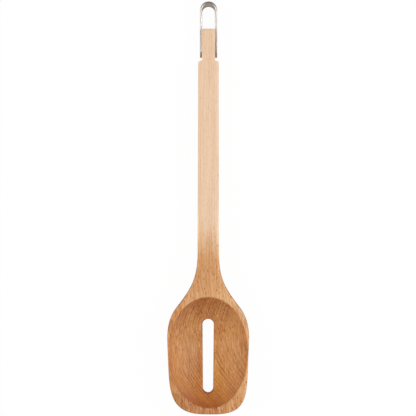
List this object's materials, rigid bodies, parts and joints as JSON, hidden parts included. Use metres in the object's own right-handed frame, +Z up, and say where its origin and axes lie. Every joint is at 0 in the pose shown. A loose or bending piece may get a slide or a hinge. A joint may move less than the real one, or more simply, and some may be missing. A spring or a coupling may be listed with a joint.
{
  "type": "slotted serving spoon",
  "caption": "Wooden serving spoon with an oval bowl, one long slot, a straight flat handle and a riveted U-shaped steel hanging loop.",
  "frame": {"origin": "on the surface that the spoon lies on, under the middle of its overall length and width", "axes": "+Z up with the hollow facing up, +Y along the spoon from the bowl to the hanging loop, +X across"},
  "size_m": [0.0634, 0.3201, 0.0176],
  "materials": {
    "beech": "sanded and lightly oiled beech, darker in the bowl",
    "steel_strip": "brushed stainless steel strip",
    "rivet_steel": "flush-ground stainless steel"
  },
  "bodies": {
    "root": {"spoon_body": "beech", "hanging_loop": "steel_strip", "lower_rivet": "rivet_steel", "upper_rivet": "rivet_steel"}
  },
  "joints": []
}
